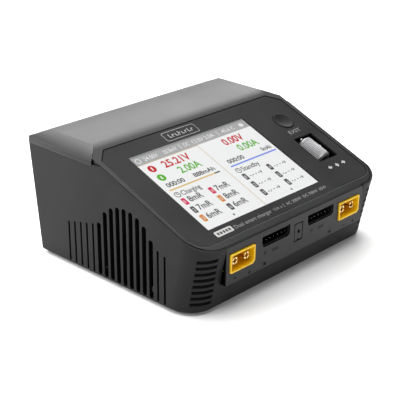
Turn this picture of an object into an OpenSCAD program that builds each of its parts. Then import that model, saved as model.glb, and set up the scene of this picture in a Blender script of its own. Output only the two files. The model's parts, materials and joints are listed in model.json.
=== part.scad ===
// Dual-channel balance battery charger, desktop form, with a sloped display.
// Millimetres. +Z up, front towards -Y. The origin is on the resting plane,
// below the middle of the outer box.
// Most modules are written in the case frame: x from the middle, y from the
// front port face towards the back, z from the underside of the lower case.

/* [Case] */
// Width over the shoulder rails
case_w = 125; // [124:1:128]
// Width at the base
base_w = 122.6; // [121:0.1:123.5]
// Height of the case without feet
case_h = 56.4; // [55.6:0.1:57]
// Depth from the port face to the rear lip
case_d = 103.2; // [102.5:0.1:106]
// Depth from the port face to the rear wall at the base
base_d = 97.8; // [97:0.1:99]
// Setback of the front wall at the base
front_setback = 5; // [4:0.5:6]
// Wall thickness of the mouldings
wall = 2.2; // [1.8:0.1:2.4]
// Radius of the front corners in plan
front_r = 12; // [10:0.5:13]
// Radius of the rear corners in plan
rear_r = 1.2; // [1:0.2:2]
// Height of the feet below the case
foot_h = 1; // [0.8:0.1:2]

/* [Slope] */
// Tilt of the sloped bezel from level
slope_a = 21.64; // [21:0.1:22.2]
// Height of the sloped face above the port face
slope_z = 29.3; // [29:0.1:30]
// Radius of the bend between slope and top
bend_r = 16; // [10:1:24]
// Half width of the sloped bezel
bezel_x = 60.8; // [60.6:0.1:60.9]
// Radius of the lower corners of the bezel
bezel_r = 12; // [10:0.5:13]

/* [Shoulders] */
// Width of the bevel along the sides and the back
bevel_w = 7.3; // [6.5:0.1:8]
// Drop of the bevel
bevel_h = 2.9; // [2.4:0.1:3.2]
// Height of the upright lip below the bevel
lip_h = 2.9; // [2.4:0.1:3]

/* [Display] */
// Lit width of the display
lcd_w = 73.44; // [72:0.01:74]
// Lit height of the display
lcd_h = 48.96; // [48:0.01:50]
// Middle of the display, across
lcd_x = -9.5; // [-10:0.1:-9]
// Middle of the display, up the slope
lcd_t = 35.7; // [35:0.1:36.5]

/* [Controls] */
// Middle of both controls, across
ctl_x = 46.4; // [46:0.1:46.6]
// Exit button, up the slope
exit_t = 50.8; // [50:0.1:51]
// Exit button diameter
exit_d = 10.4; // [10:0.1:10.8]
// Roller, up the slope
roller_t = 29.3; // [29:0.1:29.5]
// Roller radius
roller_r = 4.7; // [4.5:0.1:4.8]
// Roller length
roller_l = 13.8; // [13:0.1:13.8]
// Depth of the roller's axis under the bezel face
roller_deep = 3.75; // [3.6:0.05:3.9]
// Travel of the exit button and of the roller when pressed
press = 0.5; // [0.3:0.1:0.6]

/* [Ports] */
// Half width of the port block
block_x = 46.7; // [46:0.1:47]
// Underside of the port block
block_z = 11.7; // [11:0.1:12.5]
// Middle of each output connector, across
out_x = 36.6; // [36.3:0.1:36.9]
// Both sockets sit this far to the left of a mirrored place
out_shift = 0.3; // [0:0.1:0.5]
// Middle of each output connector, up
out_z = 20.9; // [20.5:0.1:21.2]
// Output connector width
out_w = 15.2; // [15:0.1:16]
// Output connector height
out_h = 8.4; // [8.2:0.1:8.8]
// How far the output connector stands proud
out_proud = 0.6; // [0.4:0.1:1]
// Spacing of the output pins
out_pitch = 7.2; // [7:0.1:7.3]
// Output pin radius
out_pin_r = 1.6; // [1.55:0.01:1.7]
// Middle of each balance header, across
bal_x = 15.5; // [15.2:0.1:16]
// Middle of each balance header, up
bal_z = 23.8; // [23.5:0.1:24]
// Balance header width
bal_w = 18.2; // [18:0.1:18.6]
// Balance header height
bal_h = 4.8; // [4.6:0.1:5]
// Spacing of the balance pins
bal_pitch = 2.5; // [2.5:0.01:2.5]

/* [Vents] */
// Spacing of the upright slots
vent_pitch = 3.87; // [3.8:0.01:3.9]
// Place of the rearmost slot
vent_y0 = 77.7; // [77:0.1:78]
// Underside of the slots
vent_z0 = 1.5; // [1.3:0.1:2]
// Width of the narrow slots
vent_thin = 1.1; // [0.9:0.1:1.2]
// Width of the wide slots
vent_wide = 2.4; // [2:0.1:2.4]
// Number of louvres at each front corner
louvres = 8; // [6:1:8]
// Spacing of the louvres
louvre_pitch = 2.91; // [2.8:0.01:2.95]

/* [Fan] */
// Fan frame size
fan_size = 35; // [35:1:35]
// Fan thickness
fan_t = 10; // [9:0.5:10]
// Middle of the fan, from the port face
fan_y = 42.4; // [42:0.1:43]
// Middle of the fan, up
fan_z = 19.7; // [19.6:0.1:19.8]

/* [Rear] */
// Middle of the mains inlet, across
inlet_x = -26; // [-28:1:-24]
// Middle of the mains inlet, up
inlet_z = 24; // [23:1:25]
// Middle of the direct-current input, across
dc_x = 24; // [22:1:26]
// Middle of the direct-current input, up
dc_z = 26; // [25:1:27]

/* [Hidden] */
$fn = 48;

front_y = out_proud - (case_d + out_proud) / 2;
slope_k = tan(slope_a);
top_x = case_w / 2 - bevel_w;
lip_z = case_h - bevel_h - lip_h;
rail_z = case_h - bevel_h;
front_k = front_setback / 27;
rear_k = (case_d - base_d) / (lip_z + lip_h);
side_k = (case_w - base_w) / 2 / rail_z;
rear_a = atan(rear_k);
gap = 0.2;
fit = 0.05;
frame_t = 2.4;
rim_t = 1.4;
reveal = 0.7;
floor_t = 2;
cover_drop = rim_t / cos(slope_a) + reveal;
rim_drop = 0.15;
rail_r = 1.6;
seam_y = 61.7;
vent_arc_z = 20.2;
foot_x = 50;
foot_yf = 30;
foot_yr = 74;
foot_r = 5;
foot_seat = 0.5;

panel_t = 0.8;
panel_deep = 0.15;
board_t = 1.6;
front_board_n = -13.5;
main_board_z = 12.4;
power_board_z = 5;
front_board_holes = [[34, 22.5], [-41, 66.5], [34, 66.5]];
main_board_holes = [[-30, 16], [30, 16], [-41, 62], [41, 62]];
power_board_holes = [[-42, 90], [43, 90]];
power_board_rests = [[-43, 71.5], [43, 71.5]];
screw_xf = 50;
screw_yf = 16.5;
screw_xr = 52;
screw_yr = 88;
post_z = 16;

// ---------------------------------------------------------------- helpers

// Points of an arc about [cx, cy] from angle a0 to a1
function arc(cx, cy, r, a0, a1, n = 12) =
    [for (i = [0:n]) [cx + r * cos(a0 + (a1 - a0) * i / n), cy + r * sin(a0 + (a1 - a0) * i / n)]];

// Height of the sloped face at a distance y behind the port face
function slope_at(y) = slope_z + slope_k * y;

// Case frame
module in_case() { translate([0, front_y, foot_h]) children(); }

// Slope frame: x across, y up the slope, z out of the bezel
module on_slope(x = 0, t = 0, n = 0) {
    in_case() translate([0, 0, slope_z]) rotate([slope_a, 0, 0]) translate([x, t, n]) children();
}

// Rear wall frame: x across, y out of the rear wall
module on_rear(x, z) {
    in_case() translate([x, base_d + rear_k * z, z]) rotate([-rear_a, 0, 0]) children();
}

module both_sides() {
    children();
    mirror([1, 0, 0]) children();
}

module box(x0, x1, y0, y1, z0, z1) {
    translate([x0, y0, z0]) cube([x1 - x0, y1 - y0, z1 - z0]);
}

// Profile given in [y, z], drawn out along x
module along_x(x0, x1) {
    translate([x0, 0, 0]) rotate([90, 0, 90]) linear_extrude(x1 - x0) children();
}

// Profile given in [x, z], drawn out along y
module along_y(y0, y1) {
    translate([0, y1, 0]) rotate([90, 0, 0]) linear_extrude(y1 - y0) children();
}

module rounded_plate(w, h, r) {
    square([w - 2 * r, h], center = true);
    square([w, h - 2 * r], center = true);
    for (x = [-1, 1], y = [-1, 1]) translate([x * (w / 2 - r), y * (h / 2 - r)]) circle(r);
}

module tube(r_out, r_in, h) {
    difference() {
        cylinder(r = r_out, h = h);
        translate([0, 0, -1]) cylinder(r = r_in, h = h + 2);
    }
}

// ---------------------------------------------------------------- case outline

// One thin slice of the tub: rounded in plan, inset by i, at height z
module tub_slice(z, i) {
    x = base_w / 2 + side_k * z - i;
    y0 = front_setback - front_k * z + i;
    y1 = base_d + rear_k * z - i;
    rf = front_r - i;
    rr = max(rear_r - i, 0.5);
    translate([0, 0, z - 0.005]) linear_extrude(0.01, convexity = 2) {
        for (s = [-1, 1]) {
            translate([s * (x - rf), y0 + rf]) circle(rf, $fn = 96);
            translate([s * (x - rr), y1 - rr]) circle(rr, $fn = 32);
        }
    }
}

module tub(i, z0, z1, chamfer) {
    hull() {
        tub_slice(z0 + 0.005, i + chamfer);
        tub_slice(z0 + chamfer + 0.01, i);
        tub_slice(z1, i);
    }
}

// Slots in one side wall, as an outline in [y, z]
module vent_outline() {
    for (n = [0:15]) {
        y = vent_y0 - vent_pitch * n;
        wide = n > 4 && n < 14;
        w = wide ? vent_wide : vent_thin;
        fan_top = vent_arc_z + sqrt(max(0, pow(fan_size / 2 - 0.5, 2) - pow(y - fan_y, 2)));
        top = wide ? fan_top : n < 5 ? 20.7 + 0.97 * n : 24.9 - 1.25 * (n - 14);
        translate([y - w / 2, vent_z0 + w / 2]) square([w, top - vent_z0 - w]);
        for (z = [vent_z0 + w / 2, top - w / 2]) translate([y, z]) circle(w / 2, $fn = 16);
    }
}

// Louvres round the left front corner; each is a shallow sloping groove
module louvre_cutters() {
    for (n = [0:louvres - 1]) {
        z = 3.6 + louvre_pitch * n;
        x = base_w / 2 + side_k * z - front_r;
        y = front_setback - front_k * z + front_r;
        translate([-x, y, z]) rotate([0, 0, 220]) rotate_extrude(angle = 45, $fn = 96)
            polygon([
                [front_r + 0.8, -0.35], [front_r - 1.5, 1.3], [front_r - 1.5, 1.7], [front_r + 0.8, 1.9]
            ]);
    }
}

// ---------------------------------------------------------------- mouldings

// Everything above a plane that lies d below the sloped face, and above the shoulders
module above_slope(d) {
    along_x(-80, 80) polygon([
        [-20, slope_at(-20) - d], [seam_y - 0.5, slope_at(seam_y - 0.5) - d],
        [seam_y - 0.4, lip_z], [130, lip_z], [130, 80], [-20, 80]
    ]);
}

module lower_case() {
    color([0.16, 0.16, 0.17]) in_case() difference() {
        union() {
            difference() {
                tub(0, 0, lip_z + 1, 1);
                tub(wall, floor_t, lip_z + 4, 0);
            }
            for (s = [-1, 1]) {
                translate([s * screw_xf, screw_yf, floor_t - 0.4]) cylinder(r = 4, h = post_z - floor_t + 0.4);
                translate([s * screw_xr, screw_yr, floor_t - 0.4]) cylinder(r = 4, h = post_z - floor_t + 0.4);
            }
            for (p = main_board_holes) {
                translate([p[0], p[1], floor_t - 0.4]) cylinder(r = 2.6, h = main_board_z - floor_t + 0.4);
            }
            for (p = concat(power_board_holes, power_board_rests)) {
                translate([p[0], p[1], floor_t - 0.4]) cylinder(r = 2.6, h = power_board_z - floor_t + 0.4);
            }
        }
        // upper edge: along the slope, then level under the shoulder rails
        above_slope(rim_drop);
        // rebate for the top cover
        intersection() {
            above_slope(cover_drop);
            linear_extrude(90, convexity = 4) cover_plan(-0.3, case_d + 5);
        }
        // rounded upper edge of the side walls below the bezel
        both_sides() translate([0, 0, slope_z - rim_drop]) rotate([slope_a, 0, 0]) rotate([0, 0, 0.47]) along_y(-20, 68)
            polygon(concat(arc(-61.45, -0.5, 0.5, 90, 180, 4), [[-66, -0.5], [-66, 0.01], [-61.45, 0.01]]));
        // side vents
        both_sides() intersection() {
            along_x(-70, -base_w / 2 + wall + 0.4) vent_outline();
            box(-70, -50, 0, 100, vent_z0, 60);
        }
        both_sides() louvre_cutters();
        // notch for the port block
        box(-block_x - gap, block_x + gap, -9, 9, block_z - gap, 40);
        // screw seats and bores
        for (s = [-1, 1], p = [[screw_xf, screw_yf], [screw_xr, screw_yr]]) {
            translate([s * p[0], p[1], -1]) cylinder(r = 3.1, h = 4);
            translate([s * p[0], p[1], -1]) cylinder(r = 1.7, h = post_z + 2);
        }
        // foot seats
        for (s = [-1, 1], y = [foot_yf, foot_yr]) translate([s * foot_x, y, -1]) cylinder(r = foot_r + 0.15, h = 1 + foot_seat);
        // pilot holes of the boards and the fan
        for (p = main_board_holes) translate([p[0], p[1], 4]) cylinder(r = 1.25, h = 10);
        for (p = power_board_holes) translate([p[0], p[1], 1]) cylinder(r = 1.25, h = 10);
        translate([0, -front_y, -foot_h]) in_left_fan() fan_corners() translate([0, 0, -1.6]) cylinder(r = 1.25, h = 3);
        // rear openings
        translate([0, -front_y, -foot_h]) {
            on_rear(inlet_x, inlet_z) along_y(-8, 8) inlet_hole();
            on_rear(dc_x, dc_z) rotate([0, 0, 180]) along_y(-8, 8) shroud_outline(out_w + 0.4, out_h + 0.4);
            for (n = [0:6]) on_rear(dc_x - 12 + 4 * n, 38) along_y(-8, 8) {
                square([1.6, 8], center = true);
                for (z = [-4, 4]) translate([0, z]) circle(0.8, $fn = 16);
            }
        }
    }
}

// Outline of the bezel and top in plan: rounded front corners, chamfered
// shoulders, straight seams along the top
function cover_half() = concat(
    arc(bezel_x - bezel_r, 0.4 + bezel_r, bezel_r, 270, 360, 20),
    [[bezel_x + 0.7, seam_y + 0.3]],
    arc(top_x + 3.7, 69.2, 3.7, 230, 180, 8)
);

module cover_plan(i, y1) {
    half = cover_half();
    pts = concat(
        [for (p = half) [p[0] - i, p[1] + (p[1] < 20 ? i * (1 - p[1] / 20) : -i * 0.4)]],
        [[top_x - i, y1], [-top_x + i, y1]],
        [for (n = [len(half) - 1:-1:0])
            [-half[n][0] + i, half[n][1] + (half[n][1] < 20 ? i * (1 - half[n][1] / 20) : -i * 0.4)]]
    );
    polygon(pts);
}

// Centre of the bend between the slope and the top
bend_t = bend_r * tan(slope_a / 2);
bend_y = (case_h - slope_z) / slope_k + bend_t;

// Side profile of the outer face, offset inwards by d
function cover_profile(d) = concat(
    [[-6, slope_at(-6) - d / cos(slope_a)]],
    arc(bend_y, case_h - bend_r, bend_r - d, 90 + slope_a, 90, 10),
    [[case_d - bevel_w, case_h - d], [case_d - d * 0.7, rail_z - d * 0.4]]
);

// Shell of the bezel and top, of thickness t
module cover_band(t) {
    inner = cover_profile(t);
    along_x(-80, 80) polygon(concat(cover_profile(0), [for (n = [len(inner) - 1:-1:0]) inner[n]]));
}

module port_openings() {
    for (s = [-1, 1]) {
        translate([s * out_x - out_shift + 0.08, 0, out_z - 0.08]) along_y(-2, 6) shroud_outline(out_w + 0.5, out_h + 0.5);
        translate([s * bal_x + (s < 0 ? 0.3 : 0), 0, bal_z]) along_y(-2, 6) header_outline(bal_w + 0.2, bal_h + 0.2);
    }
    box(-2.95, 2.95, -2, 6, 16.65, 25.05);
}

module top_cover() {
    color([0.2, 0.2, 0.21]) in_case() difference() {
        union() {
            // bezel and top plate, thinner along the rim
            for (p = [[rim_t, 0], [frame_t, 2.8]]) intersection() {
                cover_band(p[0]);
                linear_extrude(90, convexity = 4) cover_plan(p[1], case_d + 5);
            }
            // rear skirt
            box(-top_x, top_x, case_d - wall, case_d, lip_z, rail_z);
            // port block
            difference() {
                along_x(-block_x, block_x) polygon([
                    [0, block_z], [0, slope_z - 0.6], [0.6, slope_at(0.6) - 0.6], [4, slope_at(4) - 1.2],
                    [4, slope_at(0) - 4], [2.4, slope_z - 5], [2.4, block_z + 2], [6, block_z + 2], [6, block_z]
                ]);
                port_openings();
            }
            // screw bosses
            for (s = [-1, 1]) {
                translate([s * screw_xf, screw_yf, post_z]) cylinder(r = 3.4, h = slope_at(screw_yf) - post_z - 2);
                translate([s * screw_xr, screw_yr, post_z]) cylinder(r = 3, h = case_h - post_z - 1);
            }
            // posts of the front board
            translate([0, -front_y, -foot_h]) for (p = front_board_holes)
                on_slope(p[0], p[1], front_board_n) cylinder(r = 2.4, h = -front_board_n - 1.6);
        }
        // hollow ends of the port block
        both_sides() box(-60, -block_x + 1.4, 0.7, 6.1, block_z + 0.9, 26.6);
        // pilot bores
        for (s = [-1, 1]) {
            translate([s * screw_xf, screw_yf, post_z - 1]) cylinder(r = 1.5, h = 11);
            translate([s * screw_xr, screw_yr, post_z - 1]) cylinder(r = 1.5, h = 11);
        }
        translate([0, -front_y, -foot_h]) {
            // seat of the control panel
            on_slope(0, 0, -panel_t - panel_deep - fit) linear_extrude(5) panel_outline(0.28);
            // display opening
            on_slope(lcd_x, lcd_t, -10) linear_extrude(12) square([lcd_w + 1, lcd_h + 1], center = true);
            // button and roller openings
            on_slope(ctl_x, exit_t, -10) cylinder(r = exit_d / 2 + 0.4, h = 12);
            on_slope(ctl_x, roller_t, -10) linear_extrude(12) square([13.9, 18.4], center = true);
            // pilot holes of the front board
            for (p = front_board_holes) on_slope(p[0], p[1], front_board_n - 1) cylinder(r = 1.25, h = 8);
        }
    }
}

// Left shoulder rail: bevelled face, upright lip, mitred rear end
module shoulder_rail() {
    x = case_w / 2;
    difference() {
        intersection() {
            along_y(seam_y - 1, case_d) polygon([
                [-x + side_k * bevel_h, lip_z + fit], [-x, rail_z - 0.9], [-x + 0.3, rail_z - 0.2], [-x + 0.9, rail_z + 0.3],
                [-top_x - fit, case_h], [-top_x - fit, case_h - frame_t + 0.5],
                [-x + wall + 0.3, rail_z - frame_t + 0.9], [-x + wall, lip_z + fit]
            ]);
            linear_extrude(90) polygon(concat(
                [[-x - 1, 61.2], [-62.2, 61.75]],
                arc(-top_x - 3.5 - fit, 69.2, 3.5, -50, 0, 8),
                [[-top_x - fit, case_d], [-x + rail_r, case_d]],
                arc(-x + rail_r, case_d - rail_r, rail_r, 90, 180, 8),
                [[-x - 1, case_d - rail_r]]
            ));
            // rear bevel
            along_x(-80, 0) polygon([
                [0, 0], [case_d, 0], [case_d, rail_z - 0.9], [case_d - 0.3, rail_z - 0.2],
                [case_d - 0.9, rail_z + 0.3], [case_d - bevel_w, case_h], [0, case_h + 5]
            ]);
        }
    }
    // rear end wall
    difference() {
        intersection() {
            box(-x + wall, -top_x - fit, case_d - wall, case_d, lip_z + fit, case_h);
            along_x(-80, 0) polygon([
                [0, 0], [case_d, 0], [case_d, rail_z - 0.9], [case_d - 0.9, rail_z + 0.3],
                [case_d - bevel_w, case_h], [0, case_h]
            ]);
            linear_extrude(90) polygon(concat(
                arc(-x + rail_r, case_d - rail_r, rail_r, 90, 180, 8), [[-x, 0], [0, 0], [0, case_d]]
            ));
        }
    }
}

module shoulder_rail_left() { color([0.3, 0.3, 0.31]) in_case() shoulder_rail(); }

module shoulder_rail_right() { color([0.3, 0.3, 0.31]) in_case() mirror([1, 0, 0]) shoulder_rail(); }

// ---------------------------------------------------------------- slope parts

// Outline of the control panel, on the slope
module panel_outline(grow) {
    x = 58.8 + grow;
    t0 = 3.9 - grow;
    t1 = 69 + grow;
    r = 6.5 + grow;
    polygon(concat(
        arc(x - r, t0 + r, r, 270, 360, 14),
        [[x, t1 - 5.6], [x - 5.9, t1], [-x + 5.9, t1], [-x, t1 - 5.6]],
        arc(-x + r, t0 + r, r, 180, 270, 14)
    ));
}

module control_panel() {
    color([0.09, 0.09, 0.1]) on_slope(0, 0, -panel_t - panel_deep) difference() {
        linear_extrude(panel_t, convexity = 4) panel_outline(0);
        translate([lcd_x, lcd_t, -1]) linear_extrude(4) square([lcd_w + 0.3, lcd_h + 0.3], center = true);
        translate([ctl_x, exit_t, -1]) cylinder(r = exit_d / 2 + 0.3, h = 4);
        translate([ctl_x, roller_t, -1]) linear_extrude(4) rounded_plate(13.1, 17.7, 0.5);
    }
}

module display_window() {
    color([0.75, 0.85, 0.95, 0.4]) on_slope(lcd_x, lcd_t, -panel_t - panel_deep)
        linear_extrude(panel_t) square([lcd_w + 0.2, lcd_h + 0.2], center = true);
}

module display_module() {
    color([0.85, 0.87, 0.9]) on_slope(lcd_x, lcd_t) {
        translate([0, 0, -frame_t - 3.4]) linear_extrude(3.3) rounded_plate(lcd_w + 1.6, lcd_h + 6.4, 0.6);
        translate([0, 0, -frame_t - 0.2]) linear_extrude(frame_t - 0.85) square([lcd_w + 0.4, lcd_h + 0.4], center = true);
    }
}

// Dished button with a retaining flange and a stem
module exit_button() {
    color([0.12, 0.12, 0.13]) on_slope(ctl_x, exit_t) {
        difference() {
            translate([0, 0, -4.2]) cylinder(r = exit_d / 2, h = 4.3);
            translate([0, 0, 15.6]) sphere(r = 16.2, $fn = 96);
        }
        translate([0, 0, -3.6]) cylinder(r = exit_d / 2 + 1.2, h = 1.1);
        translate([0, 0, -9.5]) cylinder(r = 1.6, h = 5.5);
    }
}

module exit_plunger() {
    color([0.8, 0.3, 0.2]) on_slope(ctl_x, exit_t, -11.6) cylinder(r = 1.4, h = 2.1);
}

// Push switch with a blind bore for its plunger
module push_switch(top) {
    h = top - front_board_n;
    difference() {
        translate([-3, -3, front_board_n + 0.02]) cube([6, 6, h - 0.02]);
        translate([0, 0, top - 2]) cylinder(r = 1.45, h = 3);
    }
    for (x = [-1, 1], y = [-1, 1]) translate([x * 3.3 - 0.4, y * 2.2 - 0.3, front_board_n + 0.02]) cube([0.8, 0.6, 0.5]);
}

module exit_switch() { color([0.25, 0.25, 0.26]) on_slope(ctl_x, exit_t) push_switch(-10.5); }

// Barrel with turned ends and a knurl of straight grooves
module roller() {
    color([0.75, 0.76, 0.78]) on_slope(ctl_x, roller_t, -roller_deep) rotate([90, 0, 0]) difference() {
        rotate_extrude($fn = 96) polygon([
            [0.95, -roller_l / 2], [roller_r - 0.9, -roller_l / 2], [roller_r, -roller_l / 2 + 0.9],
            [roller_r, roller_l / 2 - 0.9], [roller_r - 0.9, roller_l / 2], [0.95, roller_l / 2]
        ]);
        // knurl, and the recess of the encoder ring
        for (n = [0:35]) rotate([0, 0, n * 10]) translate([roller_r + 0.12, 0, -roller_l / 2 + 1.4])
            rotate([0, 0, 45]) translate([-0.3, -0.3, 0]) cube([0.6, 0.6, roller_l - 2.8]);
        translate([0, 0, -roller_l / 2 - 1]) cylinder(r = 3.4, h = 2);
    }
}

module roller_axle() {
    color([0.8, 0.8, 0.82]) on_slope(ctl_x, roller_t, -roller_deep) rotate([90, 0, 0])
        translate([0, 0, -8.2]) cylinder(r = 0.95, h = 16.4);
}

// Magnet ring in the end of the barrel
module encoder_ring() {
    color([0.2, 0.2, 0.2]) on_slope(ctl_x, roller_t, -roller_deep) rotate([90, 0, 0])
        translate([0, 0, -roller_l / 2 + 0.1]) tube(3.4, 0.95, 0.9);
}

// Cradle that holds the axle at both ends and rides down on the select switch
module roller_carrier() {
    color([0.16, 0.16, 0.17]) on_slope(ctl_x, roller_t) {
        translate([-4.5, -8.3, -10.2]) cube([9, 16.6, 1]);
        for (s = [-1, 1]) difference() {
            union() {
                translate([-2.2, s * 7.7 - 0.6, -9.3]) cube([4.4, 1.2, 9.3 - roller_deep]);
                translate([0, s * 7.7 + 0.6, -roller_deep]) rotate([90, 0, 0]) cylinder(r = 2.2, h = 1.2);
            }
            translate([0, s * 7.7 + 2, -roller_deep]) rotate([90, 0, 0]) cylinder(r = 1, h = 4);
        }
    }
}

module select_plunger() {
    color([0.8, 0.3, 0.2]) on_slope(ctl_x, roller_t, -11.9) cylinder(r = 1.4, h = 1.7);
}

module select_switch() { color([0.25, 0.25, 0.26]) on_slope(ctl_x, roller_t) push_switch(-11); }

module encoder_sensor() {
    color([0.1, 0.1, 0.1]) on_slope(ctl_x, roller_t) {
        translate([-8.2, 5, front_board_n + 0.02]) cube([3, 2.4, 4.3]);
        for (t = [5.3, 6.8]) translate([-8.6, t, front_board_n + 0.02]) cube([0.5, 0.4, 0.4]);
    }
}

// ---------------------------------------------------------------- front ports

// Rectangle with its lower right corner cut, in [x, z]
module shroud_outline(w, h) {
    polygon([
        [-w / 2 + 0.3, -h / 2], [w / 2 - 1.2, -h / 2], [w / 2, -h / 2 + 1.2], [w / 2, h / 2 - 0.4],
        [w / 2 - 0.4, h / 2], [-w / 2 + 0.3, h / 2], [-w / 2, h / 2 - 0.3], [-w / 2, -h / 2 + 0.3]
    ]);
}

// Shroud with its mouth towards -Y, at y = 0
module shroud() {
    cut = 0.75;
    difference() {
        union() {
            along_y(0, 15) shroud_outline(out_w, out_h);
            along_y(4.8, 6) square([out_w - 2, out_h + 1.6], center = true);
        }
        along_y(-1, 9) shroud_outline(out_w - 2 * cut, out_h - 2 * cut);
        for (s = [-1, 1]) translate([s * out_pitch / 2, 16, 0]) rotate([90, 0, 0]) cylinder(r = out_pin_r + 0.02, h = 10);
    }
    // keying rib under the upper wall
    translate([0, 0, out_h / 2 - cut]) along_y(1.5, 9) polygon([[-1.2, 0.1], [1.2, 0.1], [0, -1.3]]);
}

// Two sprung pins with a crossed split and solder cups
module shroud_pins(tip) {
    for (s = [-1, 1]) translate([s * out_pitch / 2, 0, 0]) difference() {
        translate([0, 19, 0]) rotate([90, 0, 0]) cylinder(r = out_pin_r, h = 19 - tip);
        translate([0, tip + 5, 0]) rotate([90, 0, 0]) cylinder(r = 0.95, h = 8);
        translate([-3, tip - 1, -0.3]) cube([6, 5, 0.6]);
        translate([-0.3, tip - 1, -3]) cube([0.6, 5, 6]);
        translate([0, 20, 0]) rotate([90, 0, 0]) cylinder(r = 1.2, h = 3);
    }
}

module output_shroud(s) { color([0.95, 0.75, 0.1]) in_case() translate([s * out_x - out_shift, -out_proud, out_z]) shroud(); }

module output_pins(s) { color([0.85, 0.7, 0.3]) in_case() translate([s * out_x - out_shift, -out_proud, out_z]) shroud_pins(1.4); }

module output_shroud_left() { output_shroud(-1); }

module output_shroud_right() { output_shroud(1); }

module output_pins_left() { output_pins(-1); }

module output_pins_right() { output_pins(1); }

// Rectangle with its lower corners cut, in [x, z]
module header_outline(w, h) {
    polygon([
        [-w / 2 + 1.1, -h / 2], [w / 2 - 1.1, -h / 2], [w / 2, -h / 2 + 1.1],
        [w / 2, h / 2], [-w / 2, h / 2], [-w / 2, -h / 2 + 1.1]
    ]);
}

module balance_header(s) {
    color([0.06, 0.06, 0.06]) in_case() translate([s * bal_x + (s < 0 ? 0.3 : 0), 0.5, bal_z]) difference() {
        union() {
            along_y(0, 10) header_outline(bal_w, bal_h);
            along_y(3.9, 5.1) square([bal_w + 1.2, bal_h + 0.8], center = true);
        }
        along_y(-1, 7.3) header_outline(bal_w - 1.1, bal_h - 1);
        for (n = [-3:3]) translate([n * bal_pitch - 0.34, 5, -0.74]) cube([0.68, 8, 0.68]);
    }
}

module balance_pins(s) {
    color([0.85, 0.8, 0.65]) in_case() translate([s * bal_x + (s < 0 ? 0.3 : 0), 0.5, bal_z]) {
        for (n = [-3:3]) translate([n * bal_pitch, 0, -0.4]) hull() {
            translate([-0.32, 1.7, -0.32]) cube([0.64, 10.3, 0.64]);
            translate([-0.15, 0.9, -0.15]) cube([0.3, 1, 0.3]);
        }
    }
}

module balance_header_left() { balance_header(-1); }

module balance_header_right() { balance_header(1); }

module balance_pins_left() { balance_pins(-1); }

module balance_pins_right() { balance_pins(1); }

// Clip-in cover with a pin hole and a nail notch at its lower edge
module signal_port_cover() {
    color([0.18, 0.18, 0.19]) in_case() difference() {
        union() {
            box(-2.45, 2.55, 0.05, 1.6, 17.05, 24.65);
            box(-1.8, 1.8, 1.5, 2.6, 17.4, 24);
            box(-3.4, 3.4, 2.45, 3.2, 17, 24.2);
        }
        translate([0.3, 2.2, 20.85]) rotate([90, 0, 0]) cylinder(r = 0.85, h = 4);
        translate([0, -0.2, 16.7]) rotate([90, 0, 0]) translate([0, 0, -1]) cylinder(r = 0.9, h = 2);
    }
}

module signal_header() {
    color([0.07, 0.07, 0.07]) in_case() difference() {
        box(-1.3, 1.3, 6.6, 9.1, 16.9, 24.7);
        for (n = [-1:1]) box(-0.34, 0.34, 6, 10, 20.8 + 2.54 * n - 0.34, 20.8 + 2.54 * n + 0.34);
    }
}

module signal_pins() {
    color([0.85, 0.7, 0.3]) in_case() for (n = [-1:1])
        box(-0.32, 0.32, 3.9, 12, 20.8 + 2.54 * n - 0.32, 20.8 + 2.54 * n + 0.32);
}

// ---------------------------------------------------------------- boards and power parts

module front_board() {
    color([0.1, 0.35, 0.2]) on_slope(0, 0, front_board_n - board_t) linear_extrude(board_t) difference() {
        translate([-45, 19]) square([93, 50.5]);
        for (p = front_board_holes) translate(p) circle(1.6);
    }
}

module main_board() {
    color([0.1, 0.3, 0.35]) in_case() translate([0, 0, main_board_z]) linear_extrude(board_t) difference() {
        translate([-45, 10]) square([90, 57]);
        for (p = main_board_holes) translate(p) circle(1.6);
    }
}

module power_board() {
    color([0.1, 0.35, 0.2]) in_case() translate([0, 0, power_board_z]) linear_extrude(board_t) difference() {
        translate([-46, 69]) square([92, 25]);
        for (p = power_board_holes) translate(p) circle(1.6);
    }
}

// Flat cable that drops from the front board to the main board
module ribbon_cable() {
    color([0.85, 0.85, 0.8]) in_case() along_x(-37, -23) polygon([
        [63.2, 38.1], [64, 38.4], [64.5, 34], [64.6, 20], [65.5, 14.02], [64.9, 14.02], [64, 20], [63.9, 33.6]
    ]);
}

module heat_sink(s) {
    color([0.6, 0.62, 0.65]) in_case() {
        z = main_board_z + board_t + 0.1;
        box(s > 0 ? 6 : -40, s > 0 ? 40 : -6, 31, 57, z, z + 2);
        for (n = [0:8]) {
            x = s * (7 + 4 * n);
            box(x - 0.6, x + 0.6, 31, 57, z + 1.9, z + 8.5);
        }
    }
}

module heat_sink_left() { heat_sink(-1); }

module heat_sink_right() { heat_sink(1); }

module upright_cans(places, r, h, z) {
    for (p = places) translate([p[0], p[1], z]) {
        cylinder(r = r, h = h - 0.4);
        translate([0, 0, h - 0.5]) cylinder(r = r - 0.5, h = 0.5);
    }
}

module output_capacitors() {
    color([0.2, 0.2, 0.35]) in_case() upright_cans([[-24, 22], [-6, 22], [6, 22], [24, 22]], 3.1, 6.5, main_board_z + board_t + 0.1);
}

module output_chokes() {
    color([0.35, 0.3, 0.2]) in_case() for (x = [-15, 15]) {
        box(x - 5, x + 5, 58.5, 66.5, main_board_z + board_t + 0.1, main_board_z + board_t + 8);
    }
}

module transformer_core() {
    color([0.2, 0.2, 0.2]) in_case() translate([2, 73, power_board_z + board_t + 3]) difference() {
        box(-14, 14, -2, 12, 0, 24);
        for (s = [-1, 1]) box(s * 7.5 - 3.5, s * 7.5 + 3.5, -3, 13, 4, 20);
    }
}

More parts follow.
